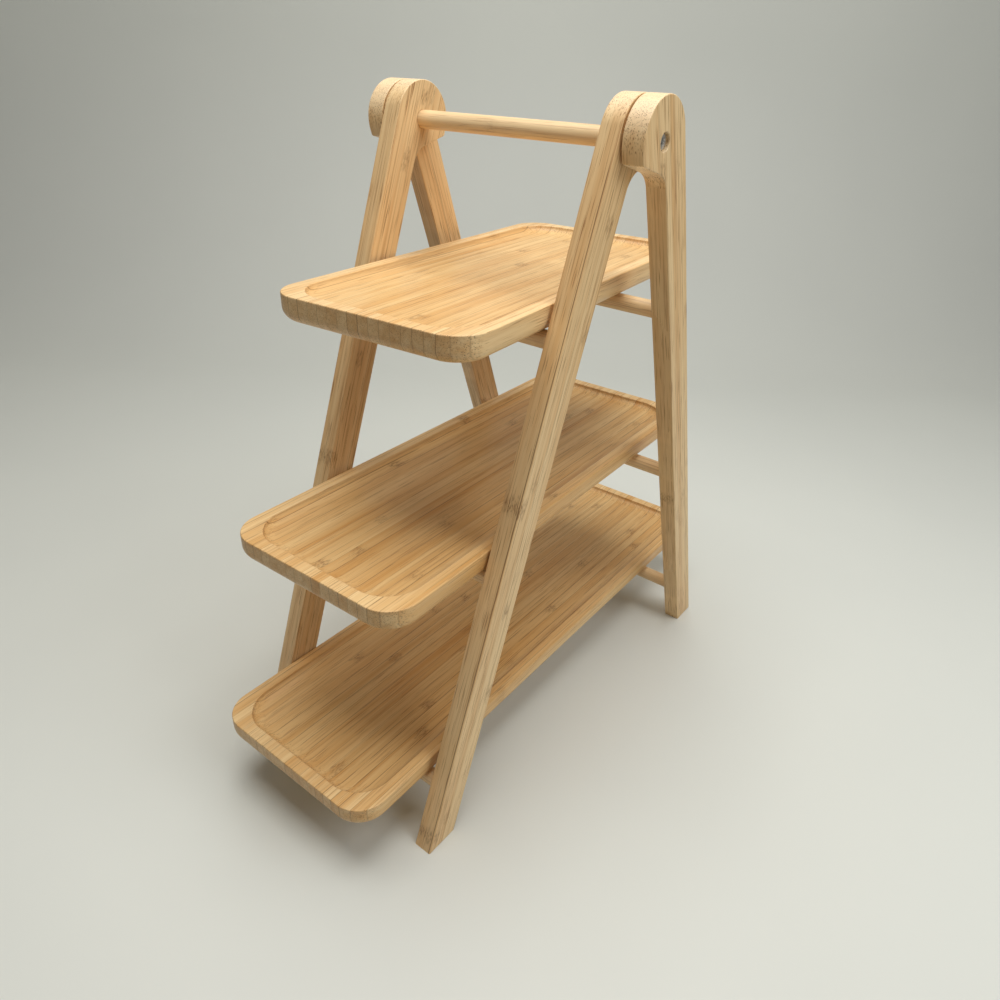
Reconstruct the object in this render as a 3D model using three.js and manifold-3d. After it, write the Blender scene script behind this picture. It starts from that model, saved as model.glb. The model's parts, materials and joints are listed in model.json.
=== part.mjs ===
// Folding three-tier bamboo stand: two A-frames joined by rails, with three loose trays.
// Millimetres, +Z up, X across the stand, trays run along Y, front is -Y, feet stand on z = 0.
import * as THREE from 'three';
import { mergeVertices } from 'three/addons/utils/BufferGeometryUtils.js';
import Module from 'manifold-3d';

const wasm = await Module();
wasm.setup();

// ---- A-frame ----------------------------------------------------------------------------
const OVERALL_HEIGHT = 400;
const LEAN = THREE.MathUtils.degToRad(20);      // each leg from the vertical
const LEG_WIDTH = 20.5;                         // across the leg, seen from the side
const LEG_THICK = 12;
const LEG_EDGE = 0.6;                           // eased edges
const HEAD_R = 20.5;                            // round head, as wide as two legs side by side
const SHOULDER_DROP = 2.9;                      // head side runs this far below the pivot
const SHOULDER_SLOPE = THREE.MathUtils.degToRad(35);
const SHOULDER_CORNER_R = 1.5;
const CROTCH_R = 14;                            // inside curve from shoulder to leg
const INNER_GAP = 133;                          // between the inner faces of the front legs
const HEAD_GAP = 1.2;                           // front leg head to rear leg head
const PIVOT_Z = OVERALL_HEIGHT - HEAD_R;
const PIVOT_Y = -8.5;                           // y = 0 is the middle of the overall length

// ---- rails and handle -------------------------------------------------------------------
const DOWEL_R = 5;
const DOWEL_CHAMFER = 0.5;
const DOWEL_SIDES = 32;
const RAIL_SOCKET = 8;                          // blind hole depth in the legs
const SOCKET_CLEARANCE = 0.1;                   // radial, and at the blind end
const RAIL_FIRST = 103;                         // pivot to top rail, measured down the leg
const RAIL_PITCH = 134.5;
const HANDLE_SOCKET = 6;

// ---- trays ------------------------------------------------------------------------------
const TRAY_WIDTH = 127;
const TRAY_THICK = 14.5;
const TRAY_CORNER_R = 19;
const TRAY_UNDER_R = 7;                         // big round-over below
const TRAY_TOP_EDGE = 0.5;
const RIM_WIDTH = 8;
const RECESS_DEPTH = 4.5;
const RECESS_COVE = 9;                          // width of the wall that curves down to the floor
const RECESS_CORNER_R = 22;
const TRAY_REST_GAP = 0.2;                      // tray underside above the rails
const CORNER_STEPS = 9;
// The trays lie loose between the front legs, each a little askew (degrees) and off the pivot's
// centre by x and y.
const TRAYS = [
  { name: 'top', length: 260, x: -3.6, y: 3.6, skew: 4.8 },
  { name: 'middle', length: 328, x: -1.6, y: -8, skew: 1.9 },
  { name: 'bottom', length: 411, x: -4, y: 8.5, skew: 0.7 },
];

// ---- pivot hardware ---------------------------------------------------------------------
const SCREW_R = 2;
const SCREW_HEAD_R = 3.9;
const SCREW_HEAD_H = 2.3;
const SCREW_SUNK = 1.3;                         // head top below the leg's outer face
const SCREW_LENGTH = 28;
const CROSS_SPAN = 4.6;
const CROSS_SLOT = 1.0;
const CROSS_DEPTH = 1.5;
const COUNTERBORE_R = 4.5;
const COUNTERBORE_DEPTH = 4.5;
const REAR_BORE_R = 2.08;                       // runs on the screw
const FRONT_BORE_R = 2.1;
const HEAD_WASHER = { outer: 4.2, bore: 2.1, thick: 0.8 };
const SPACER = { outer: 6, bore: 2.1, thick: 1.1 };
const INSERT = { outer: 3, bore: 2.06, length: 15 };
const INSERT_POCKET = 15.6;
const FACE_GAP = 0.05;                          // between stacked flat faces

// ---- where the planes lie ---------------------------------------------------------------
const FRONT_IN = INNER_GAP / 2;
const FRONT_OUT = FRONT_IN + LEG_THICK;
const REAR_IN = FRONT_OUT + HEAD_GAP;
const REAR_OUT = REAR_IN + LEG_THICK;
const FRONT = -1;                               // leg leans towards -Y
const REAR = 1;
const LEFT = -1;
const RIGHT = 1;

const bamboo = new THREE.MeshStandardMaterial({ color: 0xd8b27c, roughness: 0.55, metalness: 0 });
const bambooTray = new THREE.MeshStandardMaterial({ color: 0xe2bd88, roughness: 0.5, metalness: 0 });
const steel = new THREE.MeshStandardMaterial({ color: 0xc9cbcc, roughness: 0.3, metalness: 1 });
const brass = new THREE.MeshStandardMaterial({ color: 0xc9a550, roughness: 0.35, metalness: 1 });
const nylon = new THREE.MeshStandardMaterial({ color: 0xe8e4d8, roughness: 0.6, metalness: 0 });

// ---- helpers ----------------------------------------------------------------------------
function toSolid(geometry) {
  const bare = geometry.clone();
  bare.deleteAttribute('normal');
  bare.deleteAttribute('uv');
  const merged = mergeVertices(bare, 1e-4);
  const mesh = new wasm.Mesh({
    numProp: 3,
    vertProperties: new Float32Array(merged.attributes.position.array),
    triVerts: new Uint32Array(merged.index.array),
  });
  return new wasm.Manifold(mesh);
}

function toGeometry(solid) {
  const mesh = solid.getMesh();
  const geometry = new THREE.BufferGeometry();
  geometry.setAttribute('position', new THREE.BufferAttribute(new Float32Array(mesh.vertProperties), 3));
  geometry.setIndex(new THREE.BufferAttribute(new Uint32Array(mesh.triVerts), 1));
  geometry.computeVertexNormals();
  return geometry;
}

function cut(geometry, cutters) {
  let solid = toSolid(geometry);
  for (const cutter of cutters) solid = solid.subtract(toSolid(cutter));
  return toGeometry(solid);
}

// Solid of revolution about X. The profile is [radius, x] pairs, starting and ending on the axis
// or closing on itself. A vertex of the polygon always points straight up.
function turnedX(profile, sides = DOWEL_SIDES) {
  const points = profile.map(([r, x]) => new THREE.Vector2(r, x));
  return new THREE.LatheGeometry(points, sides).rotateZ(-Math.PI / 2);
}

function rodX(radius, x0, x1, chamfer = 0) {
  const profile = chamfer > 0
    ? [[0, x0], [radius - chamfer, x0], [radius, x0 + chamfer],
      [radius, x1 - chamfer], [radius - chamfer, x1], [0, x1]]
    : [[0, x0], [radius, x0], [radius, x1], [0, x1]];
  return turnedX(profile);
}

function ringX({ outer, bore }, x0, x1) {
  return turnedX([[bore, x0], [outer, x0], [outer, x1], [bore, x1], [bore, x0]]);
}

function arc(cx, cy, radius, from, to, steps) {
  const points = [];
  for (let i = 0; i <= steps; i++) {
    const a = from + (to - from) * i / steps;
    points.push([cx + radius * Math.cos(a), cy + radius * Math.sin(a)]);
  }
  return points;
}

const sideSign = (hand) => (hand === LEFT ? 'left' : 'right');

// ---- legs -------------------------------------------------------------------------------
// Leg coordinates: u points out of the A-frame, v runs down the leg, the pivot is (0, 0). Pieces are
// drawn with the pivot above y = 0, and add() moves them to their place.
function legPoint(lean, u, v) {
  return [
    lean * (u * Math.cos(LEAN) + v * Math.sin(LEAN)),
    PIVOT_Z + u * Math.sin(LEAN) - v * Math.cos(LEAN),
  ];
}

function legOutline(lean) {
  const innerEdge = HEAD_R - LEG_WIDTH;
  const footAt = (u) => (PIVOT_Z + u * Math.sin(LEAN)) / Math.cos(LEAN);
  const head = arc(0, 0, HEAD_R, 0, -Math.PI, 30);

  // The shoulder slopes from the head's side down to the leg, with a rounded outer corner.
  const cornerTurn = Math.PI / 2 - SHOULDER_SLOPE;
  const cornerV = SHOULDER_DROP - SHOULDER_CORNER_R * Math.tan(cornerTurn / 2);
  const corner = arc(-HEAD_R + SHOULDER_CORNER_R, cornerV, SHOULDER_CORNER_R,
    Math.PI, Math.PI - cornerTurn, 4);

  const meetV = SHOULDER_DROP + (HEAD_R + innerEdge) * Math.tan(SHOULDER_SLOPE);
  const crotchV = meetV + CROTCH_R * Math.tan((Math.PI / 2 - SHOULDER_SLOPE) / 2);
  const crotch = arc(innerEdge - CROTCH_R, crotchV, CROTCH_R,
    -(Math.PI / 2 - SHOULDER_SLOPE), 0, 8);

  const local = [
    [HEAD_R, footAt(HEAD_R)],
    ...head,
    ...corner,
    ...crotch,
    [innerEdge, footAt(innerEdge)],
  ];
  return local.map(([u, v]) => new THREE.Vector2(...legPoint(lean, u, v)));
}

function legBlank(lean, x0) {
  const blank = new THREE.ExtrudeGeometry(new THREE.Shape(legOutline(lean)), {
    depth: LEG_THICK - 2 * LEG_EDGE,
    bevelEnabled: true,
    bevelThickness: LEG_EDGE,
    bevelSize: LEG_EDGE,
    bevelOffset: -LEG_EDGE,
    bevelSegments: 2,
    curveSegments: 1,
  });
  // Drawn in (Y, Z), extruded along X.
  const place = new THREE.Matrix4().set(
    0, 0, 1, x0 + LEG_EDGE,
    1, 0, 0, 0,
    0, 1, 0, 0,
    0, 0, 0, 1,
  );
  return blank.applyMatrix4(place);
}

function railCentre(lean, level) {
  return legPoint(lean, HEAD_R - LEG_WIDTH / 2, RAIL_FIRST + level * RAIL_PITCH);
}

function railSockets(lean, hand, innerFace) {
  const reach = 1;                              // cutters start this far outside the wood
  return TRAYS.map((_, level) => {
    const [y, z] = railCentre(lean, level);
    const ends = [hand * (innerFace - reach), hand * (innerFace + RAIL_SOCKET)].sort((a, b) => a - b);
    return rodX(DOWEL_R + SOCKET_CLEARANCE, ...ends).translate(0, y, z);
  });
}

function pivotCut(radius, hand, from, to) {
  const ends = [hand * from, hand * to].sort((a, b) => a - b);
  return rodX(radius, ...ends).translate(0, 0, PIVOT_Z);
}

function frontLeg(hand) {
  const x0 = hand === RIGHT ? FRONT_IN : -FRONT_OUT;
  return cut(legBlank(FRONT, x0), [
    ...railSockets(FRONT, hand, FRONT_IN),
    pivotCut(DOWEL_R + SOCKET_CLEARANCE, hand, FRONT_IN - 1, FRONT_IN + HANDLE_SOCKET),
    pivotCut(FRONT_BORE_R, hand, FRONT_IN, FRONT_OUT + 1),
  ]);
}

function rearLeg(hand) {
  const x0 = hand === RIGHT ? REAR_IN : -REAR_OUT;
  return cut(legBlank(REAR, x0), [
    ...railSockets(REAR, hand, REAR_IN),
    pivotCut(REAR_BORE_R, hand, REAR_IN - 1, REAR_OUT),
    pivotCut(COUNTERBORE_R, hand, REAR_OUT - COUNTERBORE_DEPTH, REAR_OUT + 1),
  ]);
}

// ---- rails and handle -------------------------------------------------------------------
function rail(lean, level, innerFace) {
  const half = innerFace + RAIL_SOCKET - SOCKET_CLEARANCE;
  const [y, z] = railCentre(lean, level);
  return rodX(DOWEL_R, -half, half, DOWEL_CHAMFER).translate(0, y, z);
}

const HANDLE_END = FRONT_IN + HANDLE_SOCKET - SOCKET_CLEARANCE;

function handleBar() {
  const pocketR = INSERT.outer + FACE_GAP;
  return cut(rodX(DOWEL_R, -HANDLE_END, HANDLE_END, DOWEL_CHAMFER).translate(0, 0, PIVOT_Z), [
    pivotCut(pocketR, LEFT, HANDLE_END - INSERT_POCKET, HANDLE_END + 1),
    pivotCut(pocketR, RIGHT, HANDLE_END - INSERT_POCKET, HANDLE_END + 1),
  ]);
}

// ---- trays ------------------------------------------------------------------------------
function roundedRing(halfX, halfY, radius, z) {
  const quarter = Math.PI / 2;
  const corners = [[1, 1], [-1, 1], [-1, -1], [1, -1]];
  return corners.flatMap(([sx, sy], i) => arc(
    sx * (halfX - radius), sy * (halfY - radius), radius, i * quarter, (i + 1) * quarter, CORNER_STEPS,
  ).map(([x, y]) => [x, y, z]));
}

// Skin over a stack of equal rings, closed with a flat cap on the first and the last.
function loft(rings) {
  const count = rings[0].length;
  const centre = (ring) => [0, 1, 2].map((k) => ring.reduce((sum, p) => sum + p[k], 0) / count);
  const last = rings.length - 1;
  const points = [...rings.flat(), centre(rings[0]), centre(rings[last])];
  const capLow = rings.length * count;
  const faces = [];
  for (let i = 0; i < count; i++) {
    const j = (i + 1) % count;
    faces.push(capLow, j, i);
    for (let k = 0; k < last; k++) {
      const [a, b] = [k * count + i, k * count + j];
      faces.push(a, b, b + count, a, b + count, a + count);
    }
    faces.push(capLow + 1, last * count + i, last * count + j);
  }
  const geometry = new THREE.BufferGeometry();
  geometry.setAttribute('position', new THREE.Float32BufferAttribute(points.flat(), 3));
  geometry.setIndex(faces);
  return geometry;
}

function trayBody(length) {
  const [halfX, halfY] = [TRAY_WIDTH / 2, length / 2];
  const outer = (inset, z) => roundedRing(halfX - inset, halfY - inset, TRAY_CORNER_R - inset, z);
  const inner = (inset, z) => roundedRing(
    halfX - RIM_WIDTH - inset, halfY - RIM_WIDTH - inset, RECESS_CORNER_R - inset, z,
  );
  const rings = [];
  // Under round-over, from the flat bottom out to the side.
  for (const [x, z] of arc(TRAY_UNDER_R, TRAY_UNDER_R, TRAY_UNDER_R, -Math.PI / 2, -Math.PI, 7)) {
    rings.push(outer(x, z));
  }
  // Eased top edge, flat rim and eased recess edge.
  const top = TRAY_THICK;
  for (const [x, z] of arc(TRAY_TOP_EDGE, top - TRAY_TOP_EDGE, TRAY_TOP_EDGE, Math.PI, Math.PI / 2, 2)) {
    rings.push(outer(x, z));
  }
  for (const [x, z] of arc(-TRAY_TOP_EDGE, top - TRAY_TOP_EDGE, TRAY_TOP_EDGE, Math.PI / 2, 0, 2)) {
    rings.push(inner(x, z));
  }
  // Coved wall down to the recess floor.
  const coveDepth = RECESS_DEPTH - TRAY_TOP_EDGE;
  for (const [x, z] of arc(1, -1, 1, Math.PI, Math.PI * 1.5, 8).slice(1)) {
    rings.push(inner(x * RECESS_COVE, top - TRAY_TOP_EDGE + (z + 1) * coveDepth));
  }
  return toGeometry(toSolid(loft(rings)));
}

function trayBottomZ(level) {
  return railCentre(FRONT, level)[1] + DOWEL_R + TRAY_REST_GAP;
}

// ---- pivot hardware, drawn for the right side and mirrored by turning about Z --------------
const SCREW_TOP = REAR_OUT - SCREW_SUNK;
const SCREW_UNDER = SCREW_TOP - SCREW_HEAD_H;

function pivotScrew() {
  const crown = SCREW_HEAD_R * 0.72;
  const body = turnedX([
    [0, SCREW_UNDER - SCREW_LENGTH],
    [SCREW_R - 0.6, SCREW_UNDER - SCREW_LENGTH],
    [SCREW_R, SCREW_UNDER - SCREW_LENGTH + 1],
    [SCREW_R, SCREW_UNDER],
    [SCREW_HEAD_R, SCREW_UNDER],
    [SCREW_HEAD_R, SCREW_UNDER + SCREW_HEAD_H * 0.45],
    [SCREW_HEAD_R * 0.93, SCREW_UNDER + SCREW_HEAD_H * 0.75],
    [crown, SCREW_UNDER + SCREW_HEAD_H * 0.94],
    [crown * 0.6, SCREW_TOP],
    [0, SCREW_TOP],
  ]);
  const floorX = SCREW_TOP - CROSS_DEPTH;
  const slot = (dy, dz) => new THREE.BoxGeometry(CROSS_DEPTH + 1, dy, dz)
    .translate(floorX + (CROSS_DEPTH + 1) / 2, 0, 0).rotateX(Math.PI / 7);
  return cut(body, [slot(CROSS_SPAN, CROSS_SLOT), slot(CROSS_SLOT, CROSS_SPAN)]);
}

const washerUnder = SCREW_UNDER - FACE_GAP - HEAD_WASHER.thick;
const spacerIn = FRONT_OUT + FACE_GAP;
const insertOut = HANDLE_END - 0.1;
const hardware = {
  pivot_screw: [pivotScrew, steel],
  screw_washer: [() => ringX(HEAD_WASHER, washerUnder, washerUnder + HEAD_WASHER.thick), steel],
  pivot_spacer: [() => ringX(SPACER, spacerIn, spacerIn + SPACER.thick), nylon],
  threaded_insert: [() => ringX(INSERT, insertOut - INSERT.length, insertOut), brass],
};

// ---- assembly ---------------------------------------------------------------------------
const stand = new THREE.Group();
stand.name = 'folding_tray_stand';

function add(name, geometry, material) {
  const mesh = new THREE.Mesh(geometry, material);
  mesh.name = name;
  mesh.position.y = PIVOT_Y;
  stand.add(mesh);
  return mesh;
}

for (const hand of [LEFT, RIGHT]) {
  add(`front_leg_${sideSign(hand)}`, frontLeg(hand), bamboo);
  add(`rear_leg_${sideSign(hand)}`, rearLeg(hand), bamboo);
  for (const [name, [make, material]] of Object.entries(hardware)) {
    const piece = add(`${name}_${sideSign(hand)}`, make(), material);
    piece.position.z = PIVOT_Z;
    if (hand === LEFT) piece.rotation.z = Math.PI;
  }
}

add('handle_bar', handleBar(), bamboo);

TRAYS.forEach(({ name, length, x, y, skew }, level) => {
  add(`front_rail_${name}`, rail(FRONT, level, FRONT_IN), bamboo);
  add(`rear_rail_${name}`, rail(REAR, level, REAR_IN), bamboo);
  const tray = add(`tray_${name}`, trayBody(length), bambooTray);
  tray.position.set(x, PIVOT_Y + y, trayBottomZ(level));
  tray.rotation.z = THREE.MathUtils.degToRad(skew);
});

export default stand;
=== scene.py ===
import json
import math

import bmesh
import bpy
from mathutils import Matrix, Vector


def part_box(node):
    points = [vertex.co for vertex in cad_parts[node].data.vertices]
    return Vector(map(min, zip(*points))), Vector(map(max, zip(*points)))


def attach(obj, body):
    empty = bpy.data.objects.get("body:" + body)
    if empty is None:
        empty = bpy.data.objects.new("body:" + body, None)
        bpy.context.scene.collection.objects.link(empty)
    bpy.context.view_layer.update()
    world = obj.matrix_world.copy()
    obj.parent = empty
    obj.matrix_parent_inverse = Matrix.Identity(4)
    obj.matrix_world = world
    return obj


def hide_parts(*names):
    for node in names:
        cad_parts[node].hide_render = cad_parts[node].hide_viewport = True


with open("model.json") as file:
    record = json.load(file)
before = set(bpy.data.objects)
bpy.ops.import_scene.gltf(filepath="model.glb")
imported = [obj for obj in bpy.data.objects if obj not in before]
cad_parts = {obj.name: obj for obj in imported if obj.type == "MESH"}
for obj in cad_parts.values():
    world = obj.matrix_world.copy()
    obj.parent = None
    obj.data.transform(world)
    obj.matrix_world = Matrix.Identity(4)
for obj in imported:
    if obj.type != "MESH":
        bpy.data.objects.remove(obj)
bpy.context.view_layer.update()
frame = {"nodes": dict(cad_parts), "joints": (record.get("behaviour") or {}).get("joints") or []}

# Folding three-tier bamboo stand. Metres, +Z up, X along the rails, the front legs lean to -Y.
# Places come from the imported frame. The values below are shape details.
MM = 0.001

LEG_WIDTH = 20.5 * MM
LEG_EDGE = 0.6 * MM
SHOULDER_DROP = 2.9 * MM
SHOULDER_SLOPE = math.radians(35)
SHOULDER_CORNER_R = 1.5 * MM
CROTCH_R = 14 * MM
HEAD_STEPS = 72

DOWEL_CHAMFER = 0.5 * MM
DOWEL_SIDES = 96
DOWEL_LENGTHS = 24                      # rings of faces along a dowel
DOWEL_TURN = 53                         # degrees each dowel is turned past the one before
SOCKET_CLEARANCE = 0.1 * MM
RAIL_SOCKET = 8 * MM
HANDLE_SOCKET = 6 * MM
SOCKET_EASE = 0.25 * MM                 # eased rim of each drilled hole
COUNTERBORE_R = 4.5 * MM
COUNTERBORE_DEPTH = 4.5 * MM
REAR_BORE_R = 2.08 * MM
FRONT_BORE_R = 2.1 * MM
INSERT_POCKET = 15.6 * MM
INSERT_POCKET_R = 3.05 * MM
CUT_PAST = 2 * MM                       # how far a cutter starts outside the wood

TRAY_CORNER_R = 19 * MM
TRAY_UNDER_R = 7 * MM
TRAY_TOP_EDGE = 0.7 * MM
RIM_WIDTH = 8 * MM
RECESS_DEPTH = 4.5 * MM
RECESS_COVE = 9 * MM                    # width of the wall that curves down to the floor
RECESS_CORNER_R = 22 * MM
FLAT_BORDER = 4 * MM                    # ring of faces between a curve and the flat beside it
CORNER_STEPS = 20

SMOOTH_BELOW = math.radians(32)         # sharper edges than this stay crisp

LEVELS = ("top", "middle", "bottom")
SIDES = {"left": -1, "right": 1}


# ---- places read from the frame ----------------------------------------------------------
def middle(node):
    """Centre of a CAD node's box."""
    low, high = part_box(node)
    return (low + high) / 2


def joint(name):
    return next(j for j in frame["joints"] if j["name"] == name)


PIVOT = Vector(joint("frame_fold")["pos_m"])
HEAD_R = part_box("rear_leg_right")[1].z - PIVOT.z
rail_run = middle("rear_rail_bottom") - middle("rear_rail_top")
LEAN = math.atan2(rail_run.y, -rail_run.z)
rail_low, rail_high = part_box("front_rail_top")
DOWEL_R = (rail_high.z - rail_low.z) / 2


# ---- mesh helpers ------------------------------------------------------------------------
def arc(cx, cy, radius, start, end, steps):
    turn = [start + (end - start) * i / steps for i in range(steps + 1)]
    return [(cx + radius * math.cos(a), cy + radius * math.sin(a)) for a in turn]


def new_object(name, mesh, matrix=None):
    obj = bpy.data.objects.new(name, mesh)
    bpy.context.collection.objects.link(obj)
    if matrix is not None:
        obj.matrix_world = matrix
    return obj


def from_bmesh(name, bm, matrix=None):
    bmesh.ops.recalc_face_normals(bm, faces=bm.faces)
    mesh = bpy.data.meshes.new(name)
    bm.to_mesh(mesh)
    bm.free()
    return new_object(name, mesh, matrix)


def lathe(name, profile, sides, matrix=None):
    """Solid turned about local Z from (radius, z) pairs. A closed profile makes a ring."""
    bm = bmesh.new()
    rings = []
    for radius, z in profile:
        if radius == 0:
            rings.append([bm.verts.new((0, 0, z))] * sides)
            continue
        angles = [2 * math.pi * i / sides for i in range(sides)]
        rings.append([bm.verts.new((radius * math.cos(a), radius * math.sin(a), z)) for a in angles])
    for low, high in zip(rings, rings[1:]):
        for i in range(sides):
            j = (i + 1) % sides
            corners = []
            for vert in (low[i], low[j], high[j], high[i]):
                if vert not in corners:
                    corners.append(vert)
            bm.faces.new(corners)
    return from_bmesh(name, bm, matrix)


def carve(obj, cutters):
    """Cuts the cutters out of obj for good, and removes them."""
    for cutter in cutters:
        cut = obj.modifiers.new("cut", "BOOLEAN")
        cut.operation, cut.solver, cut.object = "DIFFERENCE", "EXACT", cutter
    bpy.context.view_layer.update()
    evaluated = obj.evaluated_get(bpy.context.evaluated_depsgraph_get())
    mesh = bpy.data.meshes.new_from_object(evaluated)
    obj.modifiers.clear()
    obj.data = mesh
    mesh.name = obj.name
    for cutter in cutters:
        bpy.data.objects.remove(cutter)


def soften(obj):
    """Smooth shading that keeps crisp edges and true flats."""
    obj.data.shade_smooth()
    obj.data.set_sharp_from_angle(angle=SMOOTH_BELOW)
    weighted = obj.modifiers.new("weighted_normals", "WEIGHTED_NORMAL")
    weighted.keep_sharp = True


def along_x(x, y, z, hand=1):
    """Frame whose local Z points along +X, or -X for hand -1, at a point."""
    return Matrix.Translation((x, y, z)) @ Matrix.Rotation(hand * math.pi / 2, 4, "Y")


def hole(radius, start, end, y, z, ease_at=None):
    """Cutter along X from start to end. It flares a little at x = ease_at, the wood's face."""
    hand = 1 if end > start else -1
    length = abs(end - start)
    profile = [(0, 0), (radius, 0), (radius, length), (0, length)]
    if ease_at is not None:
        face = abs(ease_at - start)
        profile = [(0, 0), (radius + SOCKET_EASE, 0), (radius + SOCKET_EASE, face),
                   (radius, face + SOCKET_EASE), (radius, length), (0, length)]
    return lathe("cutter", profile, DOWEL_SIDES, along_x(start, y, z, hand))


# ---- procedural materials ----------------------------------------------------------------
class Shader:
    """Small helper that adds nodes to one material."""

    def __init__(self, name):
        self.material = bpy.data.materials.new(name)
        self.material.use_nodes = True
        self.tree = self.material.node_tree
        self.surface = self.tree.nodes["Principled BSDF"]

    def add(self, kind, inputs=(), **settings):
        node = self.tree.nodes.new(kind)
        for key, value in settings.items():
            setattr(node, key, value)
        for key, value in dict(inputs).items():
            self.feed(node.inputs[key], value)
        return node

    def feed(self, socket, value):
        if isinstance(value, bpy.types.NodeSocket):
            self.tree.links.new(value, socket)
        else:
            socket.default_value = value

    def math(self, operation, *values, clamp=False):
        node = self.add("ShaderNodeMath", dict(enumerate(values)), operation=operation)
        node.use_clamp = clamp
        return node.outputs[0]

    def ramp(self, value, low, high):
        """0 below low, 1 above high, eased between."""
        node = self.add("ShaderNodeMapRange", {"Value": value, "From Min": low, "From Max": high},
                        interpolation_type="SMOOTHSTEP")
        return node.outputs["Result"]

    def mix(self, factor, a, b, blend="MIX"):
        node = self.add("ShaderNodeMix", data_type="RGBA", blend_type=blend)
        self.feed(node.inputs[0], factor)
        self.feed(node.inputs[6], a)
        self.feed(node.inputs[7], b)
        return node.outputs[2]

    def vector(self, x, y, z):
        return self.add("ShaderNodeCombineXYZ", {0: x, 1: y, 2: z}).outputs[0]

    def noise(self, vector, scale=1.0, detail=2.0, rough=0.5):
        node = self.add("ShaderNodeTexNoise", {"Vector": vector, "Scale": scale, "Detail": detail,
                                               "Roughness": rough})
        return node.outputs["Fac"]

    def random(self, value):
        """Three random numbers for one value."""
        node = self.add("ShaderNodeTexWhiteNoise", {"W": value}, noise_dimensions="1D")
        split = self.add("ShaderNodeSeparateColor", {0: node.outputs["Color"]})
        return split.outputs[0], split.outputs[1], split.outputs[2]

    def bump(self, height, distance, strength=1.0):
        node = self.add("ShaderNodeBump", {"Height": height, "Distance": distance,
                                           "Strength": strength})
        self.feed(self.surface.inputs["Normal"], node.outputs[0])


def rgb(red, green, blue):
    """Linear colour from 0-255 sRGB values."""
    def linear(value):
        value /= 255
        return value / 12.92 if value <= 0.04045 else ((value + 0.055) / 1.055) ** 2.4
    return linear(red), linear(green), linear(blue), 1.0


PALE = rgb(237, 203, 148)
WARM = rgb(216, 165, 98)
FIBRE = rgb(156, 98, 44)
# Pale cream, for paler wood and for painted highlights.
CREAM_AND_HIGHLIGHT = rgb(252, 228, 190)
# Colour multiplied into a tray's recess as painted shade.
RECESS_SHADE = (0.90, 0.85, 0.76, 1.0)
TRAY_STRIP = 6.684 * MM
LEG_STRIP = 5.2 * MM
DOWEL_STRIP = 4.1 * MM
# Where the painted shade line runs through a leg's board.
EDGE_SHADE_Z = -4.9 * MM


def darker(colour, keep):
    return tuple(c * keep for c in colour[:3]) + (1.0,)


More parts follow.
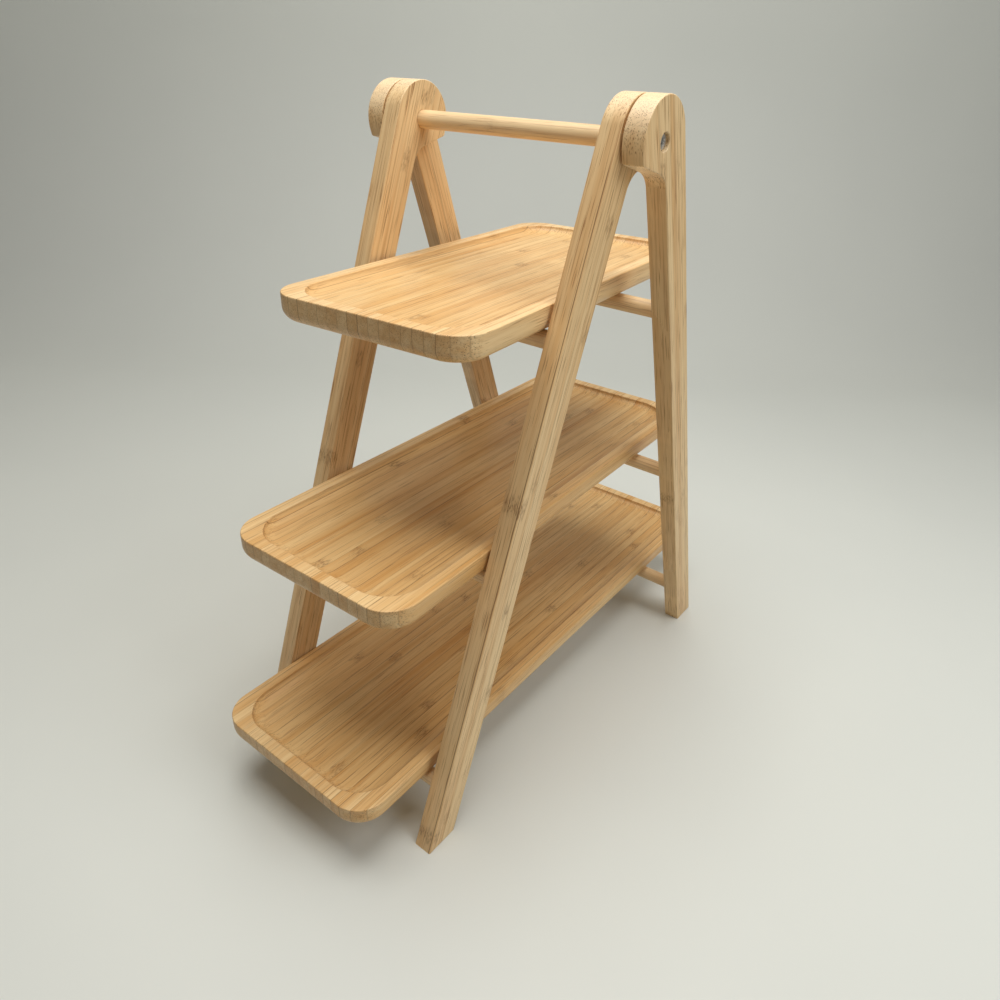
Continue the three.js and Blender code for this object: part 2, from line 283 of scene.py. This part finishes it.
def bamboo(name, strip, seed, knuckle_gap, seams=1.0, lines=1.0, pale=0.0, end_highlight=None,
           arris=None, recess_below=None):
    """Pressed bamboo with the grain along local Y and the strips side by side along local X."""
    s = Shader(name)
    place = s.add("ShaderNodeTexCoord")
    x, y, z = s.add("ShaderNodeSeparateXYZ", {0: place.outputs["Object"]}).outputs
    wander = s.math("MULTIPLY", s.math("SUBTRACT", s.noise(s.vector(x, y, z), 9.0, 1.0), 0.5), 0.12)
    across = s.math("ADD", s.math("DIVIDE", x, strip), wander)
    tone, shift, lift = s.random(s.math("ADD", s.math("FLOOR", across), seed))

    def grain(wide, long, own_y, own_z):
        """Coordinates for a pattern about 1/wide metres across the grain and 1/long along it."""
        return s.vector(s.math("MULTIPLY", x, wide), s.math("MULTIPLY", own_y, long),
                        s.math("MULTIPLY", own_z, wide))

    # Every strip is a different piece of cane, so its fibres start somewhere else.
    y_own = s.math("ADD", y, s.math("MULTIPLY", shift, 3.0))
    z_own = s.math("ADD", z, s.math("MULTIPLY", lift, 0.7))
    streaks = s.noise(grain(900, 11, y_own, z_own), 1.0, 3.0, 0.6)
    broad = s.noise(grain(210, 5, y_own, z_own), 1.0, 1.0)
    dashes = s.ramp(s.noise(grain(2100, 42, y_own, z_own), 1.0, 1.0), 0.60, 0.72)
    cells = s.add("ShaderNodeTexVoronoi", {"Vector": grain(1300, 24, y_own, z_own), "Scale": 1.0,
                                           "Randomness": 1.0}).outputs["Distance"]
    bundles = s.math("SUBTRACT", 1.0, s.ramp(cells, 0.20, 0.32))

    # Knuckles: a mottled patch across one strip, once every length of cane.
    knuckle_y = s.math("DIVIDE", s.math("ADD", y, s.math("MULTIPLY", shift, 5.0)), knuckle_gap)
    off_knuckle = s.math("MULTIPLY", s.math("ABSOLUTE", s.math("SUBTRACT",
                         s.math("FRACT", knuckle_y), 0.5)), knuckle_gap)
    ragged = s.noise(grain(520, 150, y, z), 1.0, 3.0)
    reach = s.math("ADD", off_knuckle, s.math("MULTIPLY", s.math("SUBTRACT", ragged, 0.5), 0.016))
    patch = s.math("SUBTRACT", 1.0, s.ramp(reach, 0.0005, 0.0075))
    ticks = s.ramp(s.noise(grain(1700, 330, y, z), 1.0, 2.0), 0.42, 0.66)
    knuckle = s.math("MULTIPLY", patch, s.math("ADD", 0.14, s.math("MULTIPLY", ticks, 0.5)))
    knuckle = s.math("MULTIPLY", knuckle, s.ramp(lift, 0.0, 0.8))

    # Glue seams between strips, some hardly seen, and broken here and there.
    from_seam = s.math("MULTIPLY", s.math("SUBTRACT", 0.5, s.math("ABSOLUTE", s.math("SUBTRACT",
                       s.math("FRACT", across), 0.5))), strip)
    seam_tone = s.random(s.math("ADD", s.math("ROUND", across), seed + 40))[0]
    seam_and_edge_shade = s.math("SUBTRACT", 1.0, s.ramp(from_seam, 0.00004, 0.00038))
    broken = s.ramp(s.noise(s.vector(s.math("ROUND", across), s.math("MULTIPLY", y, 38), 0.0)),
                    0.32, 0.5)
    seam_and_edge_shade = s.math("MULTIPLY", seam_and_edge_shade, s.math("MULTIPLY", broken, s.math(
        "ADD", 0.16 * seams, s.math("MULTIPLY", seam_tone, 0.55 * seams))))
    if arris is not None:
        # Painted shade: a thin dark line just inside the outer face, along the front-outer edge, below
        # the head.
        off_edge_shade = s.math("ABSOLUTE", s.math("SUBTRACT", z, arris))
        edge_shade_line = s.math("MULTIPLY", s.math("SUBTRACT", 1.0, s.ramp(off_edge_shade, 0.0001, 0.0004)),
                      s.ramp(s.math("MULTIPLY", y, -1.0), 0.008, 0.024))
        seam_and_edge_shade = s.math("MAXIMUM", seam_and_edge_shade, s.math("MULTIPLY", edge_shade_line, 0.75))

    cloud = s.noise(s.vector(s.math("MULTIPLY", x, 16), s.math("MULTIPLY", y, 5), z), 1.0, 2.0)
    blend = s.math("ADD", s.math("MULTIPLY", s.math("SUBTRACT", tone, 0.5), 0.5),
                   s.math("MULTIPLY", s.math("SUBTRACT", broad, 0.5), 1.6))
    blend = s.math("ADD", blend, s.math("MULTIPLY", s.math("SUBTRACT", cloud, 0.5), 1.1))
    colour = s.mix(s.math("ADD", blend, 0.45 - pale, clamp=True), PALE, WARM)
    if pale:
        colour = s.mix(pale, colour, CREAM_AND_HIGHLIGHT)
    colour = s.mix(s.math("MULTIPLY", s.ramp(streaks, 0.48, 0.76), 0.36 * lines), colour, FIBRE)
    colour = s.mix(s.math("MULTIPLY", dashes, 0.50 * lines), colour, darker(FIBRE, 0.85))
    colour = s.mix(knuckle, colour, darker(FIBRE, 0.6))
    colour = s.mix(seam_and_edge_shade, colour, darker(FIBRE, 0.42))

    if recess_below is not None:
        # Painted shade: the floor and cove of the recess, below the rim, are darkened a little and
        # warmed.
        recess_shade_mask = s.math("SUBTRACT", 1.0, s.ramp(z, recess_below - 0.0012, recess_below))
        inside = s.ramp(s.add("ShaderNodeSeparateXYZ", {0: place.outputs["Normal"]}).outputs[2],
                        0.05, 0.25)
        colour = s.mix(s.math("MULTIPLY", recess_shade_mask, inside), colour,
                       s.mix(1.0, colour, RECESS_SHADE, blend="MULTIPLY"))

    # Cut ends: the bundles show as dots, and a tray's ends take up more finish. A leg's cut ends,
    # mostly the tops of its heads, are lightened instead with a painted highlight.
    facing = s.math("ABSOLUTE", s.add("ShaderNodeSeparateXYZ", {0: place.outputs["Normal"]}).outputs[1])
    end_grain_and_highlight = s.ramp(facing, 0.30, 0.80)
    colour = s.mix(s.math("MULTIPLY", end_grain_and_highlight, 0.22 if end_highlight is None else 0.5), colour,
                   end_highlight or darker(FIBRE, 0.7))
    dots = s.math("MULTIPLY", s.math("MULTIPLY", s.ramp(facing, 0.25, 0.5), bundles),
                  s.math("SUBTRACT", 0.62, s.math("MULTIPLY", s.ramp(facing, 0.93, 0.99), 0.30)))
    colour = s.mix(dots, colour, darker(FIBRE, 0.35))

    s.feed(s.surface.inputs["Base Color"], colour)
    s.feed(s.surface.inputs["Roughness"], s.math("ADD", 0.36, s.math("MULTIPLY", streaks, 0.26)))
    s.surface.inputs["Specular IOR Level"].default_value = 0.35
    s.surface.inputs["Coat Weight"].default_value = 0.2
    s.surface.inputs["Coat Roughness"].default_value = 0.3
    height = s.math("SUBTRACT", s.math("MULTIPLY", streaks, 0.5), s.math("MULTIPLY", seam_and_edge_shade, 0.6))
    height = s.math("SUBTRACT", height, s.math("MULTIPLY", dashes, 0.15))
    s.bump(height, 0.12 * MM, 0.7)
    return s.material


def metal(name, colour, rough, grain_scale):
    """Bright metal with fine turning marks."""
    s = Shader(name)
    place = s.add("ShaderNodeTexCoord").outputs["Object"]
    marks = s.noise(place, grain_scale, 3.0, 0.7)
    patches = s.noise(place, grain_scale / 12, 2.0)
    dull = tuple(c * 0.72 for c in colour[:3]) + (1.0,)
    s.feed(s.surface.inputs["Base Color"], s.mix(s.ramp(patches, 0.4, 0.7), colour, dull))
    s.surface.inputs["Metallic"].default_value = 1.0
    s.feed(s.surface.inputs["Roughness"], s.math("ADD", rough, s.math("MULTIPLY", marks, 0.2)))
    s.bump(marks, 0.02 * MM, 0.5)
    return s.material


def nylon(name):
    s = Shader(name)
    place = s.add("ShaderNodeTexCoord").outputs["Object"]
    speckle = s.noise(place, 2400.0, 2.0)
    s.feed(s.surface.inputs["Base Color"],
           s.mix(s.ramp(speckle, 0.35, 0.7), rgb(236, 231, 219), rgb(214, 207, 190)))
    s.feed(s.surface.inputs["Roughness"], s.math("ADD", 0.45, s.math("MULTIPLY", speckle, 0.2)))
    s.bump(speckle, 0.02 * MM, 0.6)
    return s.material


def tray_material(level, seed, knuckle_gap, pale):
    low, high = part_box(f"tray_{level}")
    return bamboo(f"bamboo_tray_{level}", TRAY_STRIP, seed, knuckle_gap, pale=pale,
                  recess_below=high.z - low.z - TRAY_TOP_EDGE)


def leg_material(name, seed, knuckle_gap, **extra):
    # Legs get a pale painted highlight on their cut ends, mostly the tops of the heads.
    return bamboo(f"bamboo_{name}", LEG_STRIP, seed, knuckle_gap, seams=0.4, lines=1.6,
                  pale=0.18, end_highlight=CREAM_AND_HIGHLIGHT, **extra)


tray_wood = {
    # The top tray's extra paleness is a painted highlight, as it sits in full light.
    "top": tray_material("top", 3.0, 0.34, 0.1),
    "middle": tray_material("middle", 61.0, 0.25, 0.0),
    "bottom": tray_material("bottom", 127.0, 0.27, 0.0),
}
leg_wood = {
    "front_left": leg_material("front_left", 211.0, 0.23),
    # Painted shade: a dark line along this leg's front-outer edge.
    "front_right": leg_material("front_right", 233.0, 0.21, arris=EDGE_SHADE_Z),
    "rear_left": leg_material("rear_left", 251.0, 0.25),
    "rear_right": leg_material("rear_right", 277.0, 0.24),
}
dowel_wood = bamboo("bamboo_dowel", DOWEL_STRIP, 307.0, 0.26, seams=0.35, lines=0.8, pale=0.4)
steel = metal("screw_steel", (0.72, 0.71, 0.69, 1.0), 0.32, 2600.0)
brass = metal("insert_brass", (0.78, 0.58, 0.28, 1.0), 0.28, 2200.0)
white_nylon = nylon("spacer_nylon")


def finish_piece(obj, material, body, slot, *nodes):
    """Gives a piece its material and shading, hides the CAD nodes it stands for, and hangs it under its
    body.
    """
    obj.data.materials.clear()
    obj.data.materials.append(material)
    soften(obj)
    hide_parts(*nodes)
    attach(obj, body)


# ---- legs --------------------------------------------------------------------------------
# Leg frame: X points out of the A-frame, Y up the leg, Z through the board, pivot at the origin.
def leg_outline():
    """Round head, shoulder and crotch, and a foot cut level with the floor."""
    inner = HEAD_R - LEG_WIDTH
    foot_y = [-(PIVOT.z + u * math.sin(LEAN)) / math.cos(LEAN) for u in (HEAD_R, inner)]
    head = arc(0, 0, HEAD_R, 0, math.pi, HEAD_STEPS)
    turn = math.pi / 2 - SHOULDER_SLOPE
    corner_y = -SHOULDER_DROP + SHOULDER_CORNER_R * math.tan(turn / 2)
    corner = arc(-HEAD_R + SHOULDER_CORNER_R, corner_y, SHOULDER_CORNER_R,
                 math.pi, math.pi + turn, 6)
    meet_y = -SHOULDER_DROP - (HEAD_R + inner) * math.tan(SHOULDER_SLOPE)
    crotch_y = meet_y - CROTCH_R * math.tan(turn / 2)
    crotch = arc(inner - CROTCH_R, crotch_y, CROTCH_R, turn, 0, 20)
    return [(HEAD_R, foot_y[0]), *head, *corner, *crotch, (inner, foot_y[1])]


def leg_matrix(lean, x):
    """Places a leg frame at the pivot. lean is -1 for a front leg and 1 for a rear leg."""
    out = Vector((0, lean * math.cos(LEAN), math.sin(LEAN)))
    up = Vector((0, -lean * math.sin(LEAN), math.cos(LEAN)))
    through = out.cross(up)
    basis = Matrix((out, up, through)).transposed().to_4x4()
    return Matrix.Translation((x, PIVOT.y, PIVOT.z)) @ basis


def leg(name, lean, hand, material, body):
    low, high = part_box(name)
    thick = high.x - low.x
    bm = bmesh.new()
    outline = [bm.verts.new((u, v, -thick / 2)) for u, v in leg_outline()]
    base = bm.faces.new(outline)
    sides = bmesh.ops.extrude_face_region(bm, geom=[base])
    top = [v for v in sides["geom"] if isinstance(v, bmesh.types.BMVert)]
    bmesh.ops.translate(bm, verts=top, vec=(0, 0, thick))
    bmesh.ops.recalc_face_normals(bm, faces=bm.faces)
    rims = [e for e in bm.edges if abs(e.verts[0].co.z - e.verts[1].co.z) < thick / 2]
    bmesh.ops.bevel(bm, geom=rims, offset=LEG_EDGE, segments=4, profile=0.5, affect="EDGES")
    obj = from_bmesh(f"{name}_wood", bm, leg_matrix(lean, (low.x + high.x) / 2))

    inner_face = low.x if hand > 0 else high.x
    outer_face = high.x if hand > 0 else low.x
    end = "front" if lean < 0 else "rear"
    cutters = []
    for level in LEVELS:
        centre = middle(f"{end}_rail_{level}")
        cutters.append(hole(DOWEL_R + SOCKET_CLEARANCE, inner_face - hand * CUT_PAST,
                            inner_face + hand * RAIL_SOCKET, centre.y, centre.z, inner_face))
    if lean < 0:
        cutters.append(hole(DOWEL_R + SOCKET_CLEARANCE, inner_face - hand * CUT_PAST,
                            inner_face + hand * HANDLE_SOCKET, PIVOT.y, PIVOT.z, inner_face))
        cutters.append(hole(FRONT_BORE_R, inner_face, outer_face + hand * CUT_PAST,
                            PIVOT.y, PIVOT.z))
    else:
        cutters.append(hole(REAR_BORE_R, inner_face - hand * CUT_PAST, outer_face, PIVOT.y, PIVOT.z))
        cutters.append(hole(COUNTERBORE_R, outer_face + hand * CUT_PAST,
                            outer_face - hand * COUNTERBORE_DEPTH, PIVOT.y, PIVOT.z, outer_face))
    carve(obj, cutters)
    finish_piece(obj, material, body, "bamboo_frame", name)


for side, hand in SIDES.items():
    leg(f"front_leg_{side}", -1, hand, leg_wood[f"front_{side}"], "front_frame")
    leg(f"rear_leg_{side}", 1, hand, leg_wood[f"rear_{side}"], "rear_frame")


# ---- rails and carrying bar ----------------------------------------------------------------
def dowel_matrix(centre, turn):
    """Local Y, the grain, along world X."""
    grain = Matrix.Rotation(-math.pi / 2, 4, "Z")
    return Matrix.Translation(centre) @ Matrix.Rotation(turn, 4, "X") @ grain


def dowel(node, turn):
    """Chamfered round bar in a CAD dowel's place, and half its length."""
    low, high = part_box(node)
    half = (high.x - low.x) / 2
    radius = (high.z - low.z) / 2
    profile = [(0, -half), (radius - DOWEL_CHAMFER, -half), (radius, -half + DOWEL_CHAMFER)]
    profile += [(radius, -half + 2 * half * k / DOWEL_LENGTHS) for k in range(1, DOWEL_LENGTHS)]
    profile += [(radius, half - DOWEL_CHAMFER), (radius - DOWEL_CHAMFER, half), (0, half)]
    obj = lathe(f"{node}_wood", profile, DOWEL_SIDES)
    obj.data.transform(Matrix.Rotation(-math.pi / 2, 4, "X"))
    obj.matrix_world = dowel_matrix((low + high) / 2, turn)
    return obj, half


turns = iter(math.radians(40 + DOWEL_TURN * i) for i in range(7))
for level in LEVELS:
    for end in ("front", "rear"):
        node = f"{end}_rail_{level}"
        obj, _ = dowel(node, next(turns))
        finish_piece(obj, dowel_wood, f"{end}_frame", "bamboo_frame", node)

handle, handle_half = dowel("handle_bar", next(turns))
carve(handle, [hole(INSERT_POCKET_R, hand * (handle_half + CUT_PAST),
                    hand * (handle_half - INSERT_POCKET), PIVOT.y, PIVOT.z)
               for hand in SIDES.values()])
finish_piece(handle, dowel_wood, "front_frame", "bamboo_frame", "handle_bar")


# ---- trays -------------------------------------------------------------------------------
def rounded_ring(half_x, half_y, radius, z):
    """Rounded rectangle, the same number of points whatever its size."""
    ring = []
    for i, (sx, sy) in enumerate(((1, 1), (-1, 1), (-1, -1), (1, -1))):
        quarter = arc(sx * (half_x - radius), sy * (half_y - radius), radius,
                      i * math.pi / 2, (i + 1) * math.pi / 2, CORNER_STEPS)
        ring += [(px, py, z) for px, py in quarter]
    return ring


def tray_rings(half_x, half_y, thick):
    """Outlines from the underside, over the rim, down to the floor of the recess."""
    def outer(inset, z):
        return rounded_ring(half_x - inset, half_y - inset, TRAY_CORNER_R - inset, z)

    def inner(inset, z):
        return rounded_ring(half_x - RIM_WIDTH - inset, half_y - RIM_WIDTH - inset,
                            RECESS_CORNER_R - inset, z)

    rings = [outer(TRAY_UNDER_R + FLAT_BORDER, 0)]
    rings += [outer(x, z) for x, z in arc(TRAY_UNDER_R, TRAY_UNDER_R, TRAY_UNDER_R,
                                          -math.pi / 2, -math.pi, 16)]
    edge, edge_z = TRAY_TOP_EDGE, thick - TRAY_TOP_EDGE
    rings += [outer(x, z) for x, z in arc(edge, edge_z, edge, math.pi, math.pi / 2, 5)]
    rings += [inner(x, z) for x, z in arc(-edge, edge_z, edge, math.pi / 2, 0, 5)]
    cove_depth = RECESS_DEPTH - TRAY_TOP_EDGE
    rings += [inner(x * RECESS_COVE, edge_z + (z + 1) * cove_depth)
              for x, z in arc(1, -1, 1, math.pi, math.pi * 1.5, 18)[1:]]
    rings.append(inner(RECESS_COVE + FLAT_BORDER, thick - RECESS_DEPTH))
    return rings


def tray(level):
    node = f"tray_{level}"
    axis = joint(f"tray_{level}_slide")["axis"]
    skew = math.atan2(axis[0], -axis[1])
    low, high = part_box(node)
    turn = Matrix.Rotation(skew, 4, "Z")
    centre = Vector(((low.x + high.x) / 2, (low.y + high.y) / 2, low.z))
    square = [turn.inverted() @ (v.co - centre) for v in frame["nodes"][node].data.vertices]
    half_x = max(p.x for p in square)
    half_y = max(p.y for p in square)

    bm = bmesh.new()
    rings = [[bm.verts.new(p) for p in ring] for ring in tray_rings(half_x, half_y, high.z - low.z)]
    for lower, upper in zip(rings, rings[1:]):
        for i in range(len(lower)):
            j = (i + 1) % len(lower)
            bm.faces.new((lower[i], lower[j], upper[j], upper[i]))
    bm.faces.new(reversed(rings[0]))
    bm.faces.new(rings[-1])
    obj = from_bmesh(f"{node}_wood", bm, Matrix.Translation(centre) @ turn)
    finish_piece(obj, tray_wood[level], node, "bamboo_tray", node)


for level in LEVELS:
    tray(level)


# ---- pivot hardware ------------------------------------------------------------------------
SCREW_HEAD_H = 2.3 * MM
SCREW_SHANK_R = 2 * MM
SCREW_TIP_TAPER = 0.6 * MM
SCREW_RIM_CHAMFER = 0.15 * MM           # under the head
SCREW_SIDES = 64
SCREW_EDGE_R = 0.8 * MM                 # rounding of the head's edge
SCREW_CROWN = 0.2 * MM                  # rise of the head's top inside that
CROSS_SPAN = 4.4 * MM
CROSS_SLOT = 0.95 * MM
CROSS_DEPTH = 1.5 * MM
CROSS_TURNS = (28, 118)                 # degrees, one for each slot


def slot_cutter(matrix, turn):
    """Tapered slot, as one wing of a driver bit leaves it, opening along +Z from z = 0."""
    bm = bmesh.new()
    spin = Matrix.Rotation(turn, 4, "Z")
    corners = []
    for z, span, slot_width in ((-CROSS_DEPTH, CROSS_SPAN * 0.45, CROSS_SLOT * 0.7),
                                (1 * MM, CROSS_SPAN * 1.1, CROSS_SLOT * 1.15)):
        for sx, sy in ((1, 1), (-1, 1), (-1, -1), (1, -1)):
            corners.append(bm.verts.new(spin @ Vector((sx * span / 2, sy * slot_width / 2, z))))
    for face in ((3, 2, 1, 0), (4, 5, 6, 7), (0, 1, 5, 4),
                 (1, 2, 6, 5), (2, 3, 7, 6), (3, 0, 4, 7)):
        bm.faces.new([corners[k] for k in face])
    return from_bmesh("slot_cutter", bm, matrix)


def screw(side, hand):
    node = f"pivot_screw_{side}"
    low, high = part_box(node)
    head_r = (high.z - low.z) / 2
    top = high.x if hand > 0 else low.x
    length = high.x - low.x
    profile = [(0, -length), (SCREW_SHANK_R - SCREW_TIP_TAPER, -length),
               (SCREW_SHANK_R, -length + MM), (SCREW_SHANK_R, -SCREW_HEAD_H),
               (head_r - SCREW_RIM_CHAMFER, -SCREW_HEAD_H),
               (head_r, -SCREW_HEAD_H + SCREW_RIM_CHAMFER)]
    flat_r = head_r - SCREW_EDGE_R
    dome = arc(flat_r, -SCREW_CROWN - SCREW_EDGE_R, SCREW_EDGE_R, 0, math.pi / 2, 8)
    dome += [(flat_r * (1 - k / 6), -SCREW_CROWN * (1 - k / 6) ** 2) for k in range(1, 6)]
    place = along_x(top, PIVOT.y, PIVOT.z, hand)
    obj = lathe(f"{node}_steel", profile + dome + [(0, 0)], SCREW_SIDES, place)
    carve(obj, [slot_cutter(place, math.radians(turn)) for turn in CROSS_TURNS])
    finish_piece(obj, steel, "front_frame", "steel", node)


for side, hand in SIDES.items():
    screw(side, hand)
    for part, material in (("screw_washer", steel), ("threaded_insert", brass),
                           ("pivot_spacer", white_nylon)):
        mesh = frame["nodes"][f"{part}_{side}"].data
        mesh.materials.clear()
        mesh.materials.append(material)


# ---- floor, light and camera ---------------------------------------------------------------
CAMERA_AT = (0.272945, -0.365537, 0.411149)
CAMERA_YAW, CAMERA_PITCH, CAMERA_ROLL = (math.radians(a) for a in (37.402, -30.624, 2.0))
CAMERA_LENS = 26.79
SENSOR_WIDTH = 36.0

# The backdrop is level to FLOOR_DEPTH - SWEEP_R, then curves up to a wall.
FLOOR_DEPTH = 1.05
SWEEP_R = 0.45
SWEEP_STEPS = 24
WALL_TOP = 2.2
FLOOR_FRONT = -3.0
BACKDROP_HALF = 3.5


def backdrop():
    """Floor that sweeps up into a wall behind the object as the camera sees it."""
    floor = Shader("backdrop_paper")
    place = floor.add("ShaderNodeTexCoord").outputs["Object"]
    mottle = floor.noise(place, 3.0, 4.0)
    floor.feed(floor.surface.inputs["Base Color"],
               floor.mix(mottle, rgb(217, 219, 213), rgb(226, 228, 221)))
    floor.surface.inputs["Roughness"].default_value = 0.6
    sweep = [math.pi / 2 * k / SWEEP_STEPS for k in range(1, SWEEP_STEPS + 1)]
    profile = [(FLOOR_FRONT, 0.0), (FLOOR_DEPTH - SWEEP_R, 0.0)]
    profile += [(FLOOR_DEPTH - SWEEP_R + SWEEP_R * math.sin(a), SWEEP_R - SWEEP_R * math.cos(a))
                for a in sweep]
    profile.append((FLOOR_DEPTH, WALL_TOP))
    bm = bmesh.new()
    rows = [[bm.verts.new((x, d, z)) for x in (-BACKDROP_HALF, BACKDROP_HALF)] for d, z in profile]
    for a, b in zip(rows, rows[1:]):
        bm.faces.new((a[0], a[1], b[1], b[0]))
    obj = from_bmesh("backdrop", bm, Matrix.Rotation(CAMERA_YAW, 4, "Z"))
    obj.data.materials.append(floor.material)
    obj.data.shade_smooth()


def softbox(name, place, target, size, power, colour):
    lamp = bpy.data.lights.new(name, "AREA")
    lamp.shape, lamp.size, lamp.size_y = "RECTANGLE", *size
    lamp.energy, lamp.color = power, colour
    obj = bpy.data.objects.new(name, lamp)
    bpy.context.collection.objects.link(obj)
    obj.location = place
    obj.rotation_euler = (Vector(target) - Vector(place)).to_track_quat("-Z", "Y").to_euler()


def world_light(colour, strength):
    world = bpy.data.worlds.new("studio")
    bpy.context.scene.world = world
    world.use_nodes = True
    background = world.node_tree.nodes["Background"]
    background.inputs["Color"].default_value = (*colour, 1.0)
    background.inputs["Strength"].default_value = strength


def camera():
    forward = Vector((-math.sin(CAMERA_YAW) * math.cos(CAMERA_PITCH),
                      math.cos(CAMERA_YAW) * math.cos(CAMERA_PITCH), math.sin(CAMERA_PITCH)))
    right = Vector((math.cos(CAMERA_YAW), math.sin(CAMERA_YAW), 0))
    up = right.cross(forward)
    rolled_right = math.cos(CAMERA_ROLL) * right + math.sin(CAMERA_ROLL) * up
    rolled_up = math.cos(CAMERA_ROLL) * up - math.sin(CAMERA_ROLL) * right
    basis = Matrix((rolled_right, rolled_up, -forward)).transposed().to_4x4()
    data = bpy.data.cameras.new("camera")
    data.lens, data.sensor_width = CAMERA_LENS, SENSOR_WIDTH
    data.clip_start, data.clip_end = 0.01, 20.0
    obj = bpy.data.objects.new("camera", data)
    bpy.context.collection.objects.link(obj)
    obj.matrix_world = Matrix.Translation(CAMERA_AT) @ basis
    bpy.context.scene.camera = obj


backdrop()
softbox("overhead", (0.0, -0.05, 1.15), (0, 0, 0.15), (0.85, 0.75), 9.9, (1.0, 0.98, 0.94))
softbox("side", (0.9, 0.1, 0.95), (0, 0, 0.35), (0.7, 0.7), 4.8, (0.95, 0.98, 1.0))
world_light((1.0, 0.97, 0.92), 0.15)
camera()
bpy.context.scene.view_settings.view_transform = "Standard"
